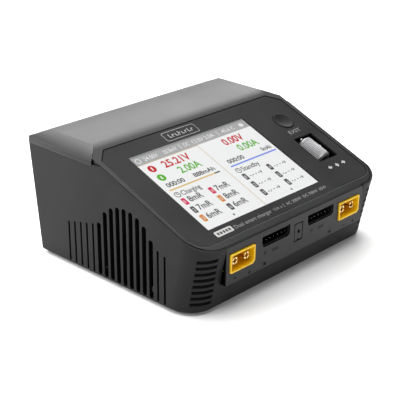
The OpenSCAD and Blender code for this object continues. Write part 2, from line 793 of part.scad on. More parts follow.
module transformer_winding() {
    color([0.85, 0.75, 0.3]) in_case() translate([2, 73, power_board_z + board_t + 0.1]) {
        difference() {
            box(-10.8, 10.8, -3.6, 13.6, 7.2, 22.6);
            box(-4.1, 4.1, -2.1, 12.1, 5, 25);
            for (s = [-1, 1]) box(s * 20 - 8.9, s * 20 + 8.9, -2.1, 12.1, 0, 30);
        }
        for (x = [-8, 8], y = [-2.8, 12.8]) translate([x, y, 0]) cylinder(r = 0.5, h = 7.4);
    }
}

module bulk_capacitors() {
    color([0.15, 0.15, 0.2]) in_case() upright_cans([[23, 75.4], [36.2, 75.4]], 6.2, 26, power_board_z + board_t + 0.1);
}

module line_filter_choke() {
    color([0.2, 0.35, 0.2]) in_case() translate([-36, 75, power_board_z + board_t + 8.2]) rotate([90, 0, 0])
        translate([0, 0, -3.5]) tube(8, 3.5, 7);
}

module input_fuse() {
    color([0.8, 0.8, 0.75]) in_case() translate([-24, 74, power_board_z + board_t + 4]) rotate([0, 90, 0]) cylinder(r = 2.6, h = 10);
}

module power_transistors() {
    color([0.1, 0.1, 0.1]) in_case() for (x = [24, 36]) {
        box(x - 5, x + 5, 88, 92.5, power_board_z + board_t + 3, power_board_z + board_t + 12);
        for (n = [-1:1]) box(x + 2.54 * n - 0.4, x + 2.54 * n + 0.4, 90, 90.5, power_board_z + board_t + 0.1, power_board_z + board_t + 3.1);
    }
}

module buzzer() {
    color([0.08, 0.08, 0.08]) on_slope(-38, 40, front_board_n + 0.05) tube(4.5, 0.8, 4.5);
}

// ---------------------------------------------------------------- fans

// Fan frame of reference: z along its axis, into the case from the left wall
module in_left_fan() {
    in_case() translate([-base_w / 2 + wall + 0.3, fan_y, fan_z]) rotate([0, 90, 0]) children();
}

module fan_corners() {
    h = fan_size / 2 - 3;
    for (x = [-1, 1], y = [-1, 1]) translate([x * h, y * h, 0]) children();
}

module fan_frame() {
    h = fan_size / 2;
    color([0.07, 0.07, 0.07]) in_left_fan() {
        difference() {
            linear_extrude(fan_t, convexity = 4) difference() {
                rounded_plate(fan_size, fan_size, 2.5);
                circle(h - 0.9, $fn = 96);
            }
            fan_corners() translate([0, 0, -1]) cylinder(r = 1.5, h = fan_t + 2);
        }
        // hub plate and struts on the inner side
        translate([0, 0, fan_t - 1.5]) linear_extrude(1.5) difference() {
            union() {
                circle(8);
                for (a = [45, 165, 285]) rotate(a) translate([0, -1]) square([h - 0.5, 2]);
            }
            circle(2.4);
        }
    }
}

module fan_bearing() { color([0.75, 0.6, 0.3]) in_left_fan() translate([0, 0, fan_t - 5]) tube(2.4, 1.04, 4.9); }

// Hub cup, shaft and seven pitched blades
module fan_rotor() {
    color([0.1, 0.1, 0.1]) in_left_fan() {
        difference() {
            translate([0, 0, 1]) cylinder(r = 8, h = 7);
            translate([0, 0, 2.2]) cylinder(r = 6.9, h = 7);
        }
        translate([0, 0, 2]) cylinder(r = 1, h = fan_t - 2.6);
        for (n = [0:6]) rotate([0, 0, n * 360 / 7]) translate([11.6, 0, 4.5]) rotate([38, 0, 0])
            cube([8, 7.6, 0.8], center = true);
    }
}

// ---------------------------------------------------------------- rear

module inlet_hole() {
    square([27.4, 20.2], center = true);
    for (s = [-1, 1]) translate([s * 20, 0]) circle(1.7);
}

// Outline of the inlet's well: upper corners cut, in [x, z]
module inlet_well() {
    polygon([[-12.2, -8.2], [12.2, -8.2], [12.2, 4.4], [8.4, 8.2], [-8.4, 8.2], [-12.2, 4.4]]);
}

module mains_inlet() {
    color([0.05, 0.05, 0.05]) on_rear(inlet_x, inlet_z) difference() {
        union() {
            along_y(0.05, 1.4) rounded_plate(48, 23, 5);
            along_y(-15, 0.2) square([27, 19.8], center = true);
        }
        along_y(-12.5, 4) inlet_well();
        for (s = [-1, 1]) translate([s * 20, 3, 0]) rotate([90, 0, 0]) {
            cylinder(r = 1.6, h = 5);
            translate([0, 0, 1.59]) cylinder(r1 = 2.7, r2 = 1.6, h = 1.1);
        }
        for (p = [[-7, -1], [7, -1], [0, 3]]) translate([p[0] - 1.05, -17, p[1] - 2.05]) cube([2.1, 8, 4.1]);
    }
}

module mains_blades() {
    color([0.8, 0.8, 0.8]) on_rear(inlet_x, inlet_z) for (p = [[-7, -1], [7, -1], [0, 3]])
        translate([p[0] - 1, -21, p[1] - 2]) cube([2, 20, 4]);
}

module dc_input_shroud() {
    color([0.95, 0.75, 0.1]) on_rear(dc_x, dc_z) translate([0, 0.5, 0]) rotate([0, 0, 180]) shroud();
}

module dc_input_pins() {
    color([0.85, 0.7, 0.3]) on_rear(dc_x, dc_z) translate([0, 0.5, 0]) rotate([0, 0, 180]) shroud_pins(1.4);
}

// ---------------------------------------------------------------- feet and screws

module foot(sx, y) {
    color([0.05, 0.05, 0.05]) in_case() translate([sx * foot_x, y, -foot_h]) {
        cylinder(r1 = foot_r - 0.3, r2 = foot_r, h = 0.4);
        translate([0, 0, 0.4]) cylinder(r = foot_r, h = foot_h + foot_seat - 0.4);
    }
}

module foot_front_left() { foot(-1, foot_yf); }

module foot_front_right() { foot(1, foot_yf); }

module foot_rear_left() { foot(-1, foot_yr); }

module foot_rear_right() { foot(1, foot_yr); }

// Screw with a flat head at z = 0 and its shank upwards
module screw(head_r, head_h, r, l) {
    difference() {
        cylinder(r = head_r, h = head_h);
        translate([0, 0, -0.01]) cylinder(r = head_r * 0.45, h = head_h * 0.6, $fn = 6);
    }
    translate([0, 0, head_h - 0.01]) cylinder(r = r, h = l);
}

module case_screws() {
    color([0.1, 0.1, 0.1]) in_case() for (s = [-1, 1], p = [[screw_xf, screw_yf], [screw_xr, screw_yr]])
        translate([s * p[0], p[1], 1]) screw(2.8, 2, 1.4, 21);
}

module fan_screws() {
    color([0.6, 0.6, 0.6]) in_left_fan() fan_corners()
        translate([0, 0, fan_t + 1.62]) rotate([180, 0, 0]) screw(2.4, 1.6, 1.2, 11.2);
}

// Screws of the front board (from below) and of the two other boards (from above)
module board_screws() {
    color([0.6, 0.6, 0.6]) {
        for (p = front_board_holes) on_slope(p[0], p[1], front_board_n - board_t - 1.62) screw(2.2, 1.6, 1.2, 5.6);
        in_case() for (p = main_board_holes) translate([p[0], p[1], main_board_z + board_t + 1.62])
            rotate([180, 0, 0]) screw(2.2, 1.6, 1.2, 7);
        in_case() for (p = power_board_holes) translate([p[0], p[1], power_board_z + board_t + 1.62])
            rotate([180, 0, 0]) screw(2.2, 1.6, 1.2, 4.4);
    }
}

module inlet_screws() {
    color([0.7, 0.7, 0.7]) on_rear(inlet_x, inlet_z) for (s = [-1, 1]) translate([s * 20, 1.38, 0]) rotate([90, 0, 0]) {
        difference() {
            cylinder(r1 = 2.5, r2 = 1.3, h = 1.2);
            translate([-2.2, -0.3, -0.1]) cube([4.4, 0.6, 0.5]);
            translate([-0.3, -2.2, -0.1]) cube([0.6, 4.4, 0.5]);
        }
        cylinder(r = 1.3, h = 8);
    }
}

// ---------------------------------------------------------------- output

lower_case();
top_cover();
shoulder_rail_left();
shoulder_rail_right();
control_panel();
display_window();
display_module();
exit_button();
exit_plunger();
exit_switch();
roller();
roller_axle();
encoder_ring();
roller_carrier();
select_plunger();
select_switch();
encoder_sensor();
output_shroud_left();
output_shroud_right();
output_pins_left();
output_pins_right();
balance_header_left();
balance_header_right();
balance_pins_left();
balance_pins_right();
signal_port_cover();
signal_header();
signal_pins();
front_board();
main_board();
power_board();
ribbon_cable();
heat_sink_left();
heat_sink_right();
output_capacitors();
output_chokes();
transformer_core();
transformer_winding();
bulk_capacitors();
line_filter_choke();
input_fuse();
power_transistors();
buzzer();
fan_frame();
fan_bearing();
fan_rotor();
mains_inlet();
mains_blades();
dc_input_shroud();
dc_input_pins();
foot_front_left();
foot_front_right();
foot_rear_left();
foot_rear_right();
case_screws();
board_screws();
fan_screws();
inlet_screws();
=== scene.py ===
import bpy, bmesh, json, math
from mathutils import Matrix, Vector

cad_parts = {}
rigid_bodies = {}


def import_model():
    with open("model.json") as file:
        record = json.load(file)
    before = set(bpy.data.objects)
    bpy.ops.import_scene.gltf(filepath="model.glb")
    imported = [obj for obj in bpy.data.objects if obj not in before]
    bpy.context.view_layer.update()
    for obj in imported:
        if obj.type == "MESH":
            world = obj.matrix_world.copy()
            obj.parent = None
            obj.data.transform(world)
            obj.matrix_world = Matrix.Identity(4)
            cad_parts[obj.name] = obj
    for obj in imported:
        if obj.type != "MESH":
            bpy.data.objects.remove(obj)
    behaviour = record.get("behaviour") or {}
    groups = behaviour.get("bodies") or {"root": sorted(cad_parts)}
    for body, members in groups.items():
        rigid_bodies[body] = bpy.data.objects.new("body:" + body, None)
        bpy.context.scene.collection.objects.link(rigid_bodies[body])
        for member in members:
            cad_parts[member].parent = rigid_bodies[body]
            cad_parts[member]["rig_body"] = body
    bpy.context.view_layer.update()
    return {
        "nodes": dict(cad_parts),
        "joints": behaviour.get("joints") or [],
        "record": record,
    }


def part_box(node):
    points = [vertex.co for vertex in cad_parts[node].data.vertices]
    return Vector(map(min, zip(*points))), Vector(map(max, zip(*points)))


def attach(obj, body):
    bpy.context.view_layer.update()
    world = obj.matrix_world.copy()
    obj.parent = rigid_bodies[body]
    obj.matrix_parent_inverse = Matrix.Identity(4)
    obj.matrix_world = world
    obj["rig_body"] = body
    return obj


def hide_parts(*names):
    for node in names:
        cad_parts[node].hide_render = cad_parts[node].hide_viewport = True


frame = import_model()
MM = 0.001
scene = bpy.context.scene
joints = {j["name"]: j for j in frame["joints"]}

# ---------------------------------------------------------------- frames of reference

PORT_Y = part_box("top_cover")[0].y
BASE_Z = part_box("lower_case")[0].z
UP_SLOPE = Vector(joints["roller_spin"]["axis"]).normalized()
OUT_SLOPE = -Vector(joints["exit_press"]["axis"]).normalized()
# centre of the roller in the slope frame: across, up the slope, out of it
ROLLER_X, ROLLER_T, ROLLER_N = 46.4, 29.3, -3.75
SLOPE_0 = (Vector(joints["roller_spin"]["pos_m"]) - Vector((ROLLER_X * MM, 0, 0))
           - UP_SLOPE * ROLLER_T * MM - OUT_SLOPE * ROLLER_N * MM)
# lit area of the display: centre in the slope frame, width and height
LCD_X, LCD_T, LCD_W, LCD_H = -9.5, 35.7, 73.44, 48.96
PANEL_N = -0.15  # outer face of the control panel, out of the slope
SCREEN_N = -1.04  # face of the display, under its window
FACE_Y = 0.7  # depth at which the outer sides of the output connectors are out of sight; behind it they get painted shade
CONNECTOR_X = {"left": -36.9, "right": 36.3}  # centres of the output connectors
CONNECTOR_SIDE = 7.4  # their outer sides lie further than this from their centres


def P(x, y, z):
    """Case frame, in millimetres, to the scene."""
    return Vector((x * MM, PORT_Y + y * MM, BASE_Z + z * MM))


def S(x, t, n):
    """Slope frame, in millimetres, to the scene: across, up the slope, out of it."""
    return SLOPE_0 + Vector((x * MM, 0, 0)) + UP_SLOPE * t * MM + OUT_SLOPE * n * MM


# ---------------------------------------------------------------- materials

def nodes_of(name):
    m = bpy.data.materials.new(name)
    m.use_nodes = True
    nt = m.node_tree
    bsdf = nt.nodes["Principled BSDF"]
    return m, nt, bsdf


def add(nt, kind, **values):
    n = nt.nodes.new(kind)
    for k, v in values.items():
        if k.startswith("in_"):
            n.inputs[k[3:].replace("_", " ")].default_value = v
        else:
            setattr(n, k, v)
    return n


def noise(nt, scale, detail=3.0, rough=0.55, stretch=None):
    tc = add(nt, "ShaderNodeTexCoord")
    mp = add(nt, "ShaderNodeMapping")
    if stretch:
        mp.inputs["Scale"].default_value = stretch
    nt.links.new(tc.outputs["Object"], mp.inputs["Vector"])
    n = add(nt, "ShaderNodeTexNoise", in_Scale=scale, in_Detail=detail, in_Roughness=rough)
    nt.links.new(mp.outputs["Vector"], n.inputs["Vector"])
    return n


def ramp(nt, src, lo, hi, a, b):
    """Map src from lo..hi to a..b, clamped."""
    r = add(nt, "ShaderNodeMapRange", in_From_Min=lo, in_From_Max=hi, in_To_Min=a, in_To_Max=b)
    nt.links.new(src, r.inputs["Value"])
    return r.outputs["Result"]


def mix_rgb(nt, fac, a, b, mode="MIX"):
    n = add(nt, "ShaderNodeMix", data_type="RGBA", blend_type=mode)
    for key, v in ((0, fac), (6, a), (7, b)):
        if isinstance(v, (int, float)):
            n.inputs[key].default_value = v
        elif isinstance(v, (tuple, list)):
            n.inputs[key].default_value = tuple(v) + (1,) if len(v) == 3 else v
        else:
            nt.links.new(v, n.inputs[key])
    return n.outputs[2]


MOTTLE = 0.18  # share by which a plastic's colour varies
GRAIN_DEPTH = 0.00004  # depth of a plastic's moulded texture, in metres


def edge_mask(nt, radius):
    """0 on flat faces to 1 on edges; also the rounded normal."""
    bv = add(nt, "ShaderNodeBevel", samples=6)
    bv.inputs["Radius"].default_value = radius
    geo = add(nt, "ShaderNodeNewGeometry")
    dot = add(nt, "ShaderNodeVectorMath", operation="DOT_PRODUCT")
    nt.links.new(bv.outputs["Normal"], dot.inputs[0])
    nt.links.new(geo.outputs["Normal"], dot.inputs[1])
    return ramp(nt, dot.outputs["Value"], 0.995, 0.80, 0.0, 1.0), bv.outputs["Normal"]


def plastic(name, color, rough=0.42, grain=2600.0, bump=0.12, edge=0.25, edge_r=0.0004, spec=0.5):
    """Moulded plastic: fine texture, mottled gloss, lighter rubbed edges."""
    m, nt, b = nodes_of(name)
    mask, rounded = edge_mask(nt, edge_r)
    cloud = noise(nt, 28.0, 4.0)
    fine = noise(nt, grain, 2.0, 0.6)
    dark = tuple(c * (1 - MOTTLE) for c in color)
    light = tuple(min(1, c * (1 + MOTTLE) + 0.002) for c in color)
    rubbed = tuple(min(1, c * 2.2 + 0.03) for c in color)
    tint = mix_rgb(nt, ramp(nt, cloud.outputs["Fac"], 0.35, 0.65, 0, 1), dark, light)
    worn = mix_rgb(nt, ramp(nt, mask, 0, 1, 0, edge), tint, rubbed)
    nt.links.new(worn, b.inputs["Base Color"])
    r = add(nt, "ShaderNodeMath", operation="ADD")
    nt.links.new(ramp(nt, cloud.outputs["Fac"], 0.3, 0.7, rough - 0.04, rough + 0.04), r.inputs[0])
    nt.links.new(ramp(nt, fine.outputs["Fac"], 0.3, 0.7, -0.03, 0.03), r.inputs[1])
    nt.links.new(r.outputs[0], b.inputs["Roughness"])
    bp = add(nt, "ShaderNodeBump", in_Strength=bump, in_Distance=GRAIN_DEPTH)
    nt.links.new(fine.outputs["Fac"], bp.inputs["Height"])
    nt.links.new(rounded, bp.inputs["Normal"])
    nt.links.new(bp.outputs["Normal"], b.inputs["Normal"])
    b.inputs["Specular IOR Level"].default_value = spec
    return m


def metal(name, color, rough=0.3, grain=900.0, stretch=(1, 1, 1), bump=0.1, edge=0.3, dark=0.75):
    """Metal with a worked grain, tarnish in patches and bright edges."""
    m, nt, b = nodes_of(name)
    mask, rounded = edge_mask(nt, 0.00015)
    cloud = noise(nt, 160.0, 3.0)
    fine = noise(nt, grain, 2.0, 0.6, stretch)
    tarnish = tuple(c * dark for c in color)
    tint = mix_rgb(nt, ramp(nt, cloud.outputs["Fac"], 0.3, 0.7, 0, 1), tarnish, color)
    tint = mix_rgb(nt, ramp(nt, mask, 0, 1, 0, edge), tint, tuple(min(1, c * 1.25) for c in color))
    nt.links.new(tint, b.inputs["Base Color"])
    nt.links.new(ramp(nt, fine.outputs["Fac"], 0.3, 0.7, rough - 0.07, rough + 0.08), b.inputs["Roughness"])
    b.inputs["Metallic"].default_value = 1.0
    bp = add(nt, "ShaderNodeBump", in_Strength=bump, in_Distance=0.00003)
    nt.links.new(fine.outputs["Fac"], bp.inputs["Height"])
    nt.links.new(rounded, bp.inputs["Normal"])
    nt.links.new(bp.outputs["Normal"], b.inputs["Normal"])
    return m


def knurl(m, pitch):
    """Fine rings round the roller, as bump over the worked grain."""
    nt = m.node_tree
    tc = add(nt, "ShaderNodeTexCoord")
    dot = add(nt, "ShaderNodeVectorMath", operation="DOT_PRODUCT")
    dot.inputs[1].default_value = tuple(UP_SLOPE * (2 * math.pi / pitch))
    nt.links.new(tc.outputs["Object"], dot.inputs[0])
    wave = add(nt, "ShaderNodeMath", operation="SINE")
    nt.links.new(dot.outputs["Value"], wave.inputs[0])
    bp = [n for n in nt.nodes if n.bl_idname == "ShaderNodeBump"][0]
    fine = bp.inputs["Height"].links[0].from_socket
    both = add(nt, "ShaderNodeMath", operation="MULTIPLY_ADD")
    nt.links.new(wave.outputs[0], both.inputs[0])
    both.inputs[1].default_value = 0.9
    nt.links.new(fine, both.inputs[2])
    nt.links.new(both.outputs[0], bp.inputs["Height"])
    bp.inputs["Strength"].default_value = 0.5
    bp.inputs["Distance"].default_value = 0.00008
    return m


def board_material(name, color):
    """Circuit board: solder mask with faint tracks."""
    m, nt, b = nodes_of(name)
    tc = add(nt, "ShaderNodeTexCoord")
    br = add(nt, "ShaderNodeTexBrick", in_Scale=110.0, in_Mortar_Size=0.02)
    br.inputs["Color1"].default_value = tuple(color) + (1,)
    br.inputs["Color2"].default_value = tuple(c * 1.2 for c in color) + (1,)
    br.inputs["Mortar"].default_value = tuple(c * 1.9 for c in color) + (1,)
    nt.links.new(tc.outputs["Object"], br.inputs["Vector"])
    cloud = noise(nt, 300.0, 3.0)
    shaded = tuple(c * 0.7 for c in color)
    col = mix_rgb(nt, ramp(nt, cloud.outputs["Fac"], 0.4, 0.6, 0, 0.5), br.outputs["Color"], shaded)
    nt.links.new(col, b.inputs["Base Color"])
    nt.links.new(ramp(nt, cloud.outputs["Fac"], 0.3, 0.7, 0.28, 0.4), b.inputs["Roughness"])
    bp = add(nt, "ShaderNodeBump", in_Strength=0.2, in_Distance=0.00005)
    nt.links.new(br.outputs["Fac"], bp.inputs["Height"])
    nt.links.new(bp.outputs["Normal"], b.inputs["Normal"])
    return m


def lit(name, color, strength=0.87):
    """A lit colour of the display, with the faint grid of its cells."""
    m, nt, b = nodes_of(name)
    tc = add(nt, "ShaderNodeTexCoord")
    grid = add(nt, "ShaderNodeTexChecker", in_Scale=13000.0)
    nt.links.new(tc.outputs["Object"], grid.inputs["Vector"])
    col = mix_rgb(nt, ramp(nt, grid.outputs["Fac"], 0, 1, 0.0, 0.05), color, tuple(c * 0.8 for c in color))
    b.inputs["Base Color"].default_value = (0.01, 0.01, 0.01, 1)
    b.inputs["Roughness"].default_value = 0.5
    b.inputs["Specular IOR Level"].default_value = 0.1
    nt.links.new(col, b.inputs["Emission Color"])
    b.inputs["Emission Strength"].default_value = strength
    return m


def glass(name):
    m, nt, b = nodes_of(name)
    smear = noise(nt, 60.0, 3.0)
    nt.links.new(ramp(nt, smear.outputs["Fac"], 0.45, 0.7, 0.0, 0.012), b.inputs["Roughness"])
    b.inputs["Base Color"].default_value = (0.985, 0.99, 0.99, 1)
    b.inputs["Transmission Weight"].default_value = 1.0
    b.inputs["IOR"].default_value = 1.12
    return m


MATS = {
    "case_plastic": plastic("case_plastic", (0.0135, 0.0135, 0.014), 0.5, bump=0.16, spec=0.13, edge=0.1),
    "cover_plastic": plastic("cover_plastic", (0.013, 0.013, 0.0135), 0.43, bump=0.14, spec=0.28, edge=0.12),
    "panel_film": plastic("panel_film", (0.02, 0.02, 0.0205), 0.5, grain=4200, bump=0.05, spec=0.08,
                          edge=0.1, edge_r=0.0002),
    "window": glass("window"),
    "display": plastic("display", (0.02, 0.02, 0.02), 0.3, bump=0.02),
    "button_plastic": plastic("button_plastic", (0.014, 0.014, 0.014), 0.5, bump=0.05, spec=0.1,
                              edge=0.1),
    "knurled_metal": metal("knurled_metal", (0.3, 0.3, 0.305), 0.4, 700.0, (1, 1, 1), 0.2, 0.5),
    "steel": metal("steel", (0.62, 0.62, 0.63), 0.3),
    "dark_steel": metal("dark_steel", (0.1, 0.1, 0.105), 0.4),
    "yellow_nylon": plastic("yellow_nylon", (1.0, 0.52, 0.004), 0.3, grain=1500, bump=0.08, edge=0.25,
                            edge_r=0.0003, spec=0.4),
    "gold_pins": metal("gold_pins", (0.95, 0.72, 0.32), 0.22),
    "tin_pins": metal("tin_pins", (0.5, 0.48, 0.44), 0.35),
    "black_nylon": plastic("black_nylon", (0.006, 0.006, 0.006), 0.5, grain=1700, bump=0.1, spec=0.15,
                           edge=0.06),
    "board": board_material("board", (0.01, 0.09, 0.04)),
    "sink_metal": metal("sink_metal", (0.7, 0.71, 0.73), 0.35, 500.0, (1, 0.05, 1), 0.25),
    "ferrite": plastic("ferrite", (0.04, 0.04, 0.042), 0.6, grain=1500, bump=0.25),
    "copper": metal("copper", (0.75, 0.36, 0.16), 0.3, 1500.0, (0.1, 1, 1), 0.6),
    "can": plastic("can", (0.03, 0.04, 0.08), 0.3, bump=0.03),
    "flat_cable": plastic("flat_cable", (0.6, 0.6, 0.55), 0.4, bump=0.05),
    "ceramic": plastic("ceramic", (0.62, 0.57, 0.45), 0.3, bump=0.05),
    "bronze": metal("bronze", (0.6, 0.42, 0.2), 0.4),
    "rubber": plastic("rubber", (0.018, 0.018, 0.018), 0.7, grain=1500, bump=0.3, spec=0.3),
    "red_nylon": plastic("red_nylon", (0.5, 0.05, 0.03), 0.35, bump=0.05),
}
KNURL_PITCH = 0.0009
knurl(MATS["knurled_metal"], KNURL_PITCH)
slot_of = {s["node"]: s["material_slot"] for s in frame["record"]["subparts"]}


SHARP_ANGLE = 30  # degrees between faces from which an edge stays sharp


def paint(obj, mat):
    obj.data.materials.clear()
    obj.data.materials.append(mat)
    for p in obj.data.polygons:
        p.material_index = 0


def smooth(obj, angle=SHARP_ANGLE):
    """Smooth shading that keeps edges sharper than the angle."""
    me = obj.data
    me.shade_smooth()
    bm = bmesh.new()
    bm.from_mesh(me)
    for e in bm.edges:
        if len(e.link_faces) == 2:
            e.smooth = e.calc_face_angle(0) < math.radians(angle)
    bm.to_mesh(me)
    bm.free()


for node_name, obj in frame["nodes"].items():
    paint(obj, MATS[slot_of[node_name]])


# ---------------------------------------------------------------- mesh helpers

def put(name, bm, mat, body):
    """A piece from a bmesh that is already in the scene's frame."""
    me = bpy.data.meshes.new(name)
    bm.to_mesh(me)
    bm.free()
    ob = bpy.data.objects.new(name, me)
    scene.collection.objects.link(ob)
    ob.data.materials.append(mat)
    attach(ob, body)
    return ob


WELD = 0.00001  # distance within which a copy's points are merged, in metres
FLAT_ANGLE = 0.6  # degrees between faces up to which they are joined into one
ROUND_ANGLE = 25  # degrees between faces from which an edge is rounded
# near-black material that paints the shade of gaps, slots and recesses onto the faces given to it
shade_m = plastic("painted_shade", (0.004, 0.004, 0.004), 0.8, bump=0.1, spec=0.0, edge=0.0)


def to_case(v):
    """The scene to the case frame, in millimetres."""
    return Vector((v.x / MM, (v.y - PORT_Y) / MM, (v.z - BASE_Z) / MM))


def out_of_slope(c):
    """Height of a point of the case frame above the sloped face."""
    return (P(c.x, c.y, c.z) - SLOPE_0).dot(OUT_SLOPE) / MM


CORNER_R = 12.4  # round of the front corners inside the rim
CORNER_X = 48.8  # its centre, to either side
REBATE_DEPTH, REBATE_END = 4, 61.3  # zone of the rebate under the cover: below the slope, and its rear end
RIM_X, RIM_TAPER = 61.15, 0.009  # outer limit of the rebate to either side, and its growth to the rear
WALL_X = 58  # beyond this, to either side, a face belongs to the side walls
VENT_START, VENT_END = 14, 82  # depths between which the side vents lie
FLOOR_TOP = 1.2


def case_shade_faces(c, normal):
    """Side walls of the vent slots, and the rebate under the cover: faces that get painted shade."""
    ax = abs(c.x)
    if out_of_slope(c) > -REBATE_DEPTH and c.y < REBATE_END:
        if ax > CORNER_X and c.y < CORNER_R:
            within = math.hypot(ax - CORNER_X, c.y - CORNER_R) < CORNER_R
        else:
            within = c.y > 0.2
        return within and out_of_slope(c) < -0.3 and ax < RIM_X + RIM_TAPER * c.y
    return ax > WALL_X and abs(normal.x) < 0.6 and VENT_START < c.y < VENT_END and c.z > FLOOR_TOP


BLOCK_DEPTH, BLOCK_TOP = 8, 28.4  # the cover's port block
SEAT_START, SEAT_END, SEAT_X = 3.2, 66, 59.8  # depths and half width of the slope's seats and openings


def cover_shade_faces(c, normal):
    """Seats and openings of the cover, and the hollow ends of its port block: faces that get painted shade.
    """
    if c.y < BLOCK_DEPTH and c.z < BLOCK_TOP:
        return c.y > 0.1
    return out_of_slope(c) < -0.1 and SEAT_START < c.y < SEAT_END and abs(c.x) < SEAT_X


def pin_shade_faces(c, normal):
    """Shanks of the balance pins, painted dark for the shade of their header."""
    return c.y > 1.6 and c.z > 10


def shroud_shade_faces(c, normal):
    """Outer sides of an output connector, behind the face of the port block: painted shade in place of their
    yellow.
    """
    centre = CONNECTOR_X["left" if c.x < 0 else "right"]
    return c.y > FACE_Y and abs(c.x - centre) > CONNECTOR_SIDE


def shell(node_name, width, shade_rule=None, split=None):
    """A smooth copy of a CAD node: welded, flat faces joined, edges rounded, split at a depth; the faces
    that its rule picks get painted shade.
    """
    src = frame["nodes"][node_name]
    bm = bmesh.new()
    bm.from_mesh(src.data)
    bmesh.ops.remove_doubles(bm, verts=bm.verts, dist=WELD)
    bmesh.ops.dissolve_limit(bm, angle_limit=math.radians(FLAT_ANGLE), verts=bm.verts, edges=bm.edges)
    if split is not None:
        bmesh.ops.bisect_plane(bm, geom=bm.verts[:] + bm.edges[:] + bm.faces[:],
                               plane_co=P(0, split, 0), plane_no=(0, 1, 0))
    for f in bm.faces:
        if shade_rule and shade_rule(to_case(f.calc_center_median()), f.normal):
            f.material_index = 1
    body = src["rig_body"]
    ob = put(node_name + "_skin", bm, MATS[slot_of[node_name]], body)
    ob.data.materials.append(shade_m)
    if width:
        bv = ob.modifiers.new("round", "BEVEL")
        bv.width = width
        bv.segments = 2
        bv.limit_method = "ANGLE"
        bv.angle_limit = math.radians(ROUND_ANGLE)
        bv.use_clamp_overlap = True
        bv.miter_outer = "MITER_ARC"
    smooth(ob)
    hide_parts(node_name)
    return ob


def flat(bm, points, n):
    """A flat face from (across, up) points at height n."""
    vs = [bm.verts.new(S(x, t, n)) for x, t in points]
    f = bm.faces.new(vs)
    f.normal_update()
    if f.normal.dot(OUT_SLOPE) < 0:
        f.normal_flip()
    return f


def round_box(x0, x1, t0, t1, r, steps=6):
    """Outline of a rectangle with rounded corners."""
    pts = []
    for cx, ct, a0 in ((x1 - r, t0 + r, 270), (x1 - r, t1 - r, 0), (x0 + r, t1 - r, 90),
                       (x0 + r, t0 + r, 180)):
        for i in range(steps):
            a = math.radians(a0 + 90 / (steps - 1) * i)
            pts.append((cx + r * math.cos(a), ct + r * math.sin(a)))
    return pts


def circle(x, t, r, steps):
    """Outline of a circle."""
    turn = 2 * math.pi / steps
    return [(x + r * math.cos(turn * i), t + r * math.sin(turn * i)) for i in range(steps)]


def rect(bm, x0, x1, t0, t1, n, r=0.0):
    if r <= 0:
        return flat(bm, [(x0, t0), (x1, t0), (x1, t1), (x0, t1)], n)
    return flat(bm, round_box(x0, x1, t0, t1, r), n)


def ring_outline(bm, outer, inner, n):
    """Flat band between two outlines with the same number of points."""
    a = [bm.verts.new(S(x, t, n)) for x, t in outer]
    b = [bm.verts.new(S(x, t, n)) for x, t in inner]
    k = len(a)
    for i in range(k):
        f = bm.faces.new([a[i], a[(i + 1) % k], b[(i + 1) % k], b[i]])
        f.normal_update()
        if f.normal.dot(OUT_SLOPE) < 0:
            f.normal_flip()


def disc(bm, x, t, r, n, steps=20):
    return flat(bm, circle(x, t, r, steps), n)


CAPITAL = 0.729  # height of a capital of the built-in font, at size 1


def words(bm, text, x, t, height, n, width, bold=0.0, right=False):
    """Figures and unit letters, x and t at their lower left or right corner, height of a capital."""
    cu = bpy.data.curves.new("words", "FONT")
    cu.body = text
    cu.size = 1.0
    cu.resolution_u = 3
    cu.offset = bold
    ob = bpy.data.objects.new("words", cu)
    scene.collection.objects.link(ob)
    bpy.context.view_layer.update()
    me = ob.to_mesh()
    xs = [v.co.x for v in me.vertices]
    sy = height / CAPITAL
    sx = width / (max(xs) - min(xs))
    x0 = x - (sx * (max(xs) - min(xs)) if right else 0)
    vs = [bm.verts.new(S(x0 + (v.co.x - min(xs)) * sx, t + v.co.y * sy, n)) for v in me.vertices]
    for p in me.polygons:
        try:
            f = bm.faces.new([vs[i] for i in p.vertices])
            f.normal_update()
            if f.normal.dot(OUT_SLOPE) < 0:
                f.normal_flip()
        except ValueError:
            pass  # bmesh refuses a face that it already has
    ob.to_mesh_clear()
    bpy.data.objects.remove(ob)
    bpy.data.curves.remove(cu)


# ---------------------------------------------------------------- mouldings

for side in CONNECTOR_X:
    shell("output_shroud_" + side, 0.0, shade_rule=shroud_shade_faces, split=FACE_Y)
# node: width of its rounded edges in metres, and the rule for its faces with painted shade
SKINS = {
    "lower_case": (0.0, case_shade_faces), "top_cover": (0.0, cover_shade_faces), "control_panel": (0.0, None),
    "balance_pins_left": (0.0, pin_shade_faces), "balance_pins_right": (0.0, pin_shade_faces),
    "shoulder_rail_left": (0.00025, None), "shoulder_rail_right": (0.00025, None),
}
for skin_name, (skin_width, skin_shade_rule) in SKINS.items():
    shell(skin_name, skin_width, shade_rule=skin_shade_rule)

# ---------------------------------------------------------------- display

U0, V0 = LCD_X - LCD_W / 2, LCD_T - LCD_H / 2
layers = {}


def layer(color_name):
    """The mesh that gathers one colour of the display."""
    return layers.setdefault(color_name, bmesh.new())


def su(u):
    """From the display's left edge to the slope frame."""
    return U0 + u


def sv(v):
    """From the display's lower edge to the slope frame."""
    return V0 + v


